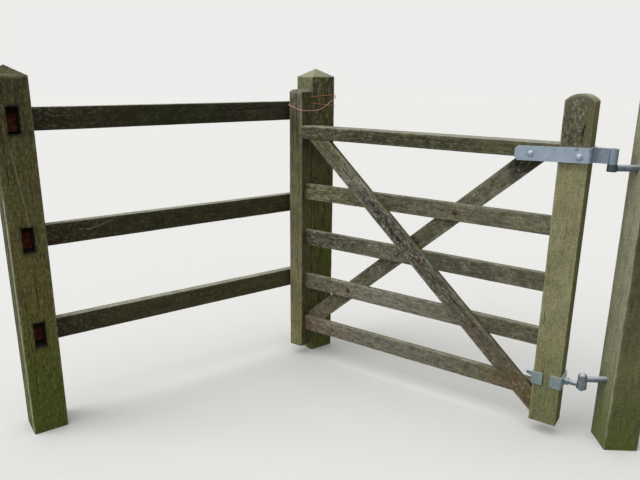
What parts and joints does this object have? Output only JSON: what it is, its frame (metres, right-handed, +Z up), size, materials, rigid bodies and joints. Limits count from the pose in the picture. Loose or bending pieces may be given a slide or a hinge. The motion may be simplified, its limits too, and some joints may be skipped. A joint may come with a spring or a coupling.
{
  "type": "kissing gate",
  "caption": "Weathered timber kissing gate: a railed side panel between posts and a braced leaf that swings on galvanised hinges and rests against a clapping post.",
  "frame": {"origin": "Middle of the clapping post's foot, at ground level.", "axes": "+X runs along the side panel from the corner post to the clapping post, +Y points out of the enclosure behind the panel, +Z is up."},
  "size_m": [1.8165, 1.4635, 1.312],
  "materials": {
    "post_timber": "sawn softwood, pressure treated, weathered with algae",
    "side_rail_timber": "sawn softwood, weathered dark",
    "gate_timber": "planed softwood, pressure treated, weathered",
    "galvanised_steel": "hot-dip galvanised, dull",
    "baler_twine": "twisted polypropylene baler twine, faded"
  },
  "bodies": {
    "posts_and_side_panel": {"corner_post": "post_timber", "clapping_post": "post_timber", "hanging_post": "post_timber", "side_rail_top": "side_rail_timber", "side_rail_middle": "side_rail_timber", "side_rail_bottom": "side_rail_timber", "top_hook": "galvanised_steel", "bottom_hook": "galvanised_steel", "hook_washers": "galvanised_steel", "hook_nuts": "galvanised_steel", "twine_turns": "baler_twine", "twine_loop": "baler_twine"},
    "gate_leaf": {"closing_stile": "gate_timber", "hanging_stile": "gate_timber", "gate_top_rail": "gate_timber", "gate_bar_upper": "gate_timber", "gate_bar_middle": "gate_timber", "gate_bar_lower": "gate_timber", "gate_bar_bottom": "gate_timber", "near_brace": "gate_timber", "far_brace": "gate_timber", "top_strap_hinge": "galvanised_steel", "strap_bolts": "galvanised_steel", "strap_nuts": "galvanised_steel", "bottom_band": "galvanised_steel", "bottom_eye_bolt": "galvanised_steel", "bottom_eye_nuts": "galvanised_steel"}
  },
  "joints": [
    {"name": "leaf_hinge", "type": "hinge", "parent": "posts_and_side_panel", "child": "gate_leaf", "pos_m": [0.30766, -1.22518, 0.6], "axis": [0, 0, 1], "range_deg": [0, 90], "deforming": ["twine_loop"]}
  ]
}
